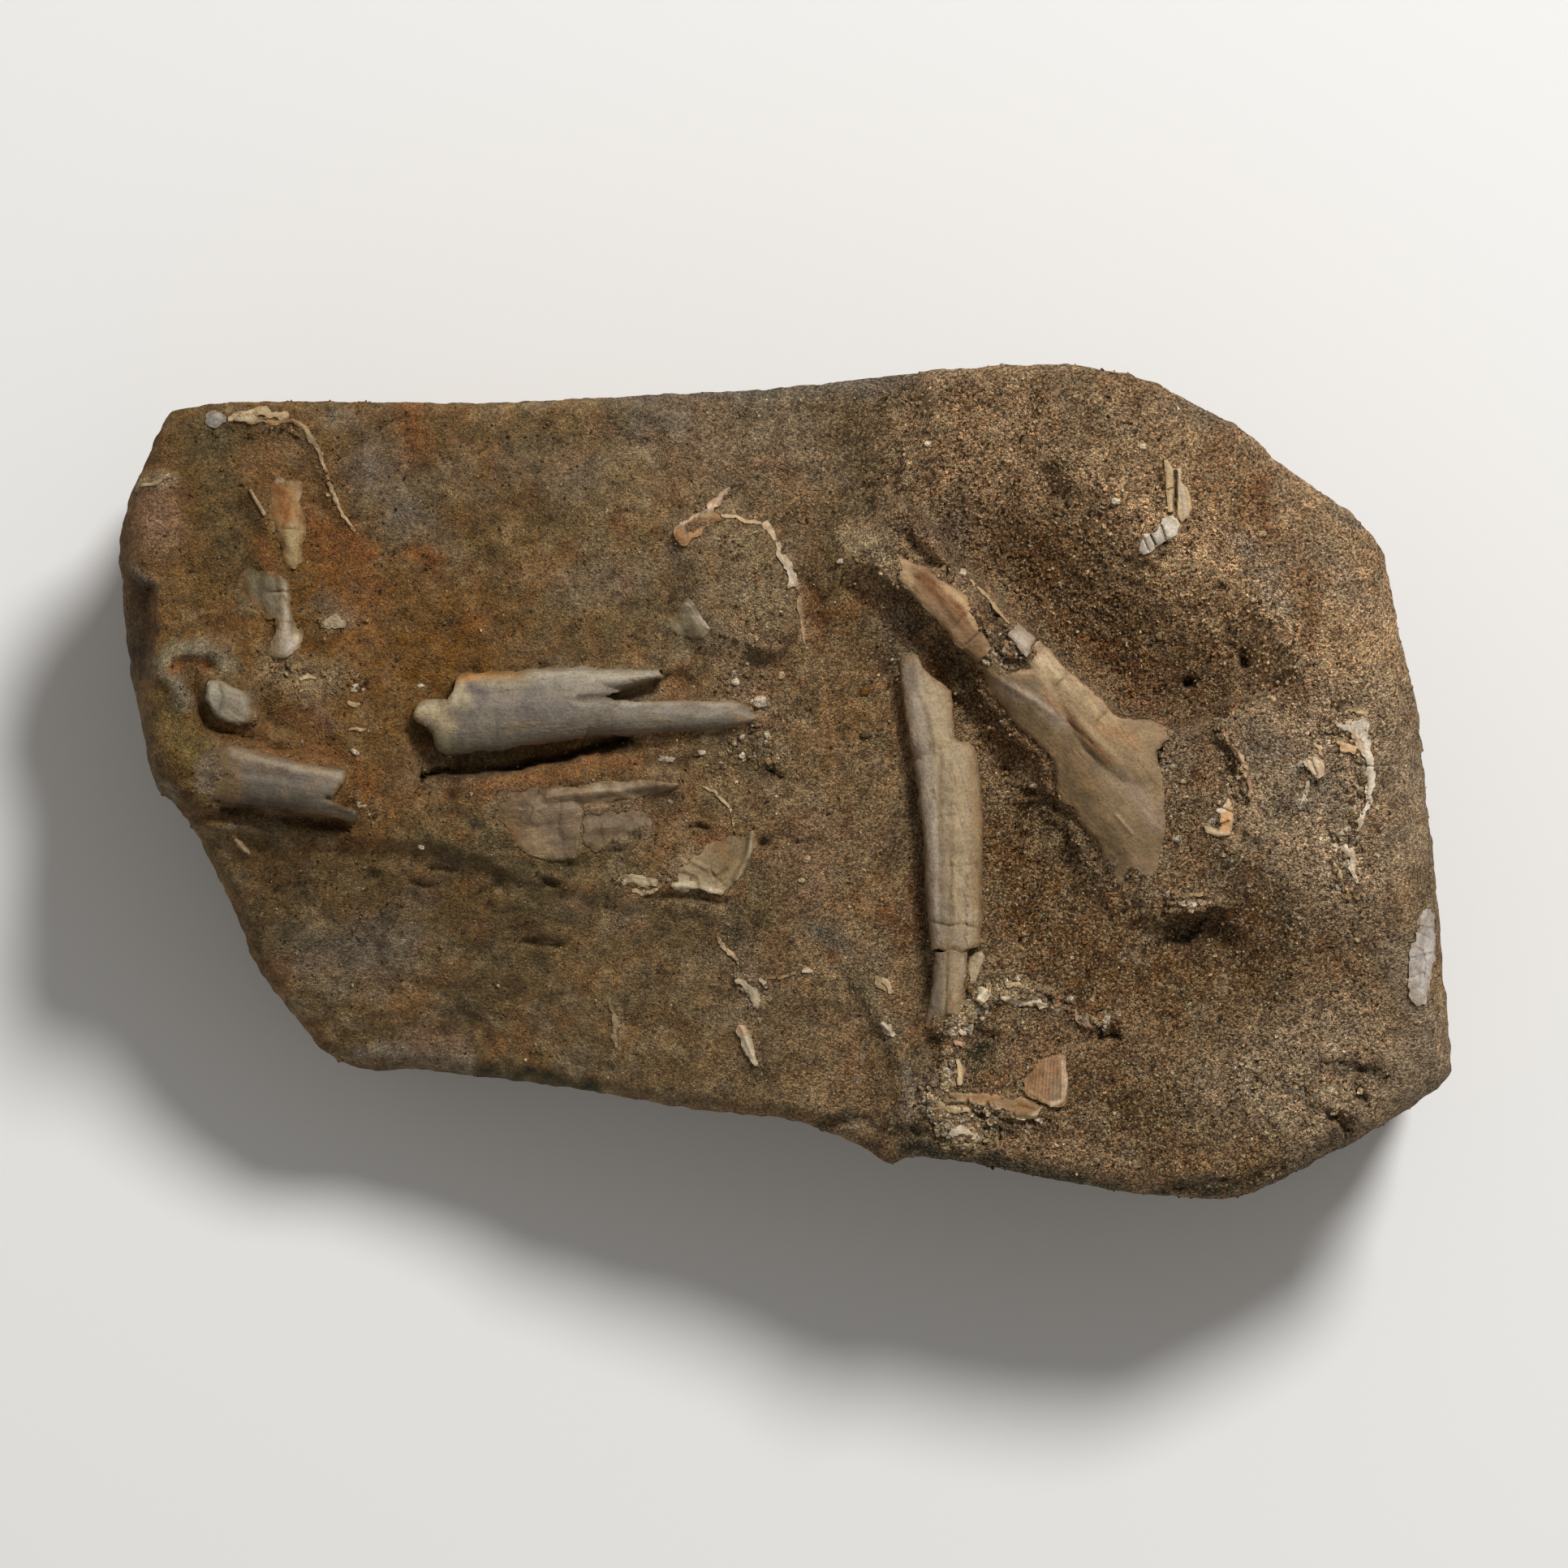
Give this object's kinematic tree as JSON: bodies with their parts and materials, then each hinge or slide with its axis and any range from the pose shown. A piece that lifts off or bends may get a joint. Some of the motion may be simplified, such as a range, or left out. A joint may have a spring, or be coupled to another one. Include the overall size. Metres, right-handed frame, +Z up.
{
  "type": "pterosaur bone fossil",
  "caption": "Loose block of brown sandstone, flat underneath, with broken hollow limb bones of a small pterosaur lying in its upper face.",
  "frame": {"origin": "middle of the block's box, on the flat underside that it lies on", "axes": "+X along the block's length, towards its taller end; +Y across it; +Z up, out of the face that holds the bones"},
  "size_m": [0.248, 0.1554, 0.0677],
  "materials": {
    "sandstone": "coarse, gritty, matt brown sandstone with rust, olive and grey patches",
    "grey_bone": "mineralised bone, grey to lilac, faint satin, fine lengthwise cracks",
    "cream_bone": "mineralised bone, cream to white, faint satin, flaked",
    "stained_bone": "mineralised bone, stained orange-brown by iron, matt"
  },
  "bodies": {
    "root": {"matrix_block": "sandstone", "forked_shaft_bone": "grey_bone", "left_shaft_bone": "grey_bone", "small_white_bone": "grey_bone", "upper_left_bone_head": "stained_bone", "upper_left_bone_foot": "cream_bone", "thin_bone_sliver": "cream_bone", "corner_bone_chip": "grey_bone", "arched_bone_edge": "cream_bone", "crescent_bone_left": "stained_bone", "crescent_bone_right": "cream_bone", "triangular_bone_chip": "grey_bone", "flattened_shaft_bone": "grey_bone", "flattened_bone_flake": "grey_bone", "curved_shell_chip": "cream_bone", "long_shaft_bone": "grey_bone", "long_shaft_foot": "cream_bone", "long_shaft_flake": "cream_bone", "flared_bone_neck": "stained_bone", "flared_bone_blade": "cream_bone", "flared_bone_chip": "grey_bone", "crumbled_bone_plate": "stained_bone", "ribbed_bone_flake": "cream_bone", "splinter_bone_shaft": "cream_bone", "splinter_bone_foot": "cream_bone", "ring_bone_crescent": "cream_bone", "ring_bone_core": "cream_bone", "socket_bone_chip": "cream_bone", "side_bone_patch": "cream_bone", "pointed_bone_chip": "cream_bone", "corner_cream_chip": "cream_bone"}
  },
  "joints": []
}
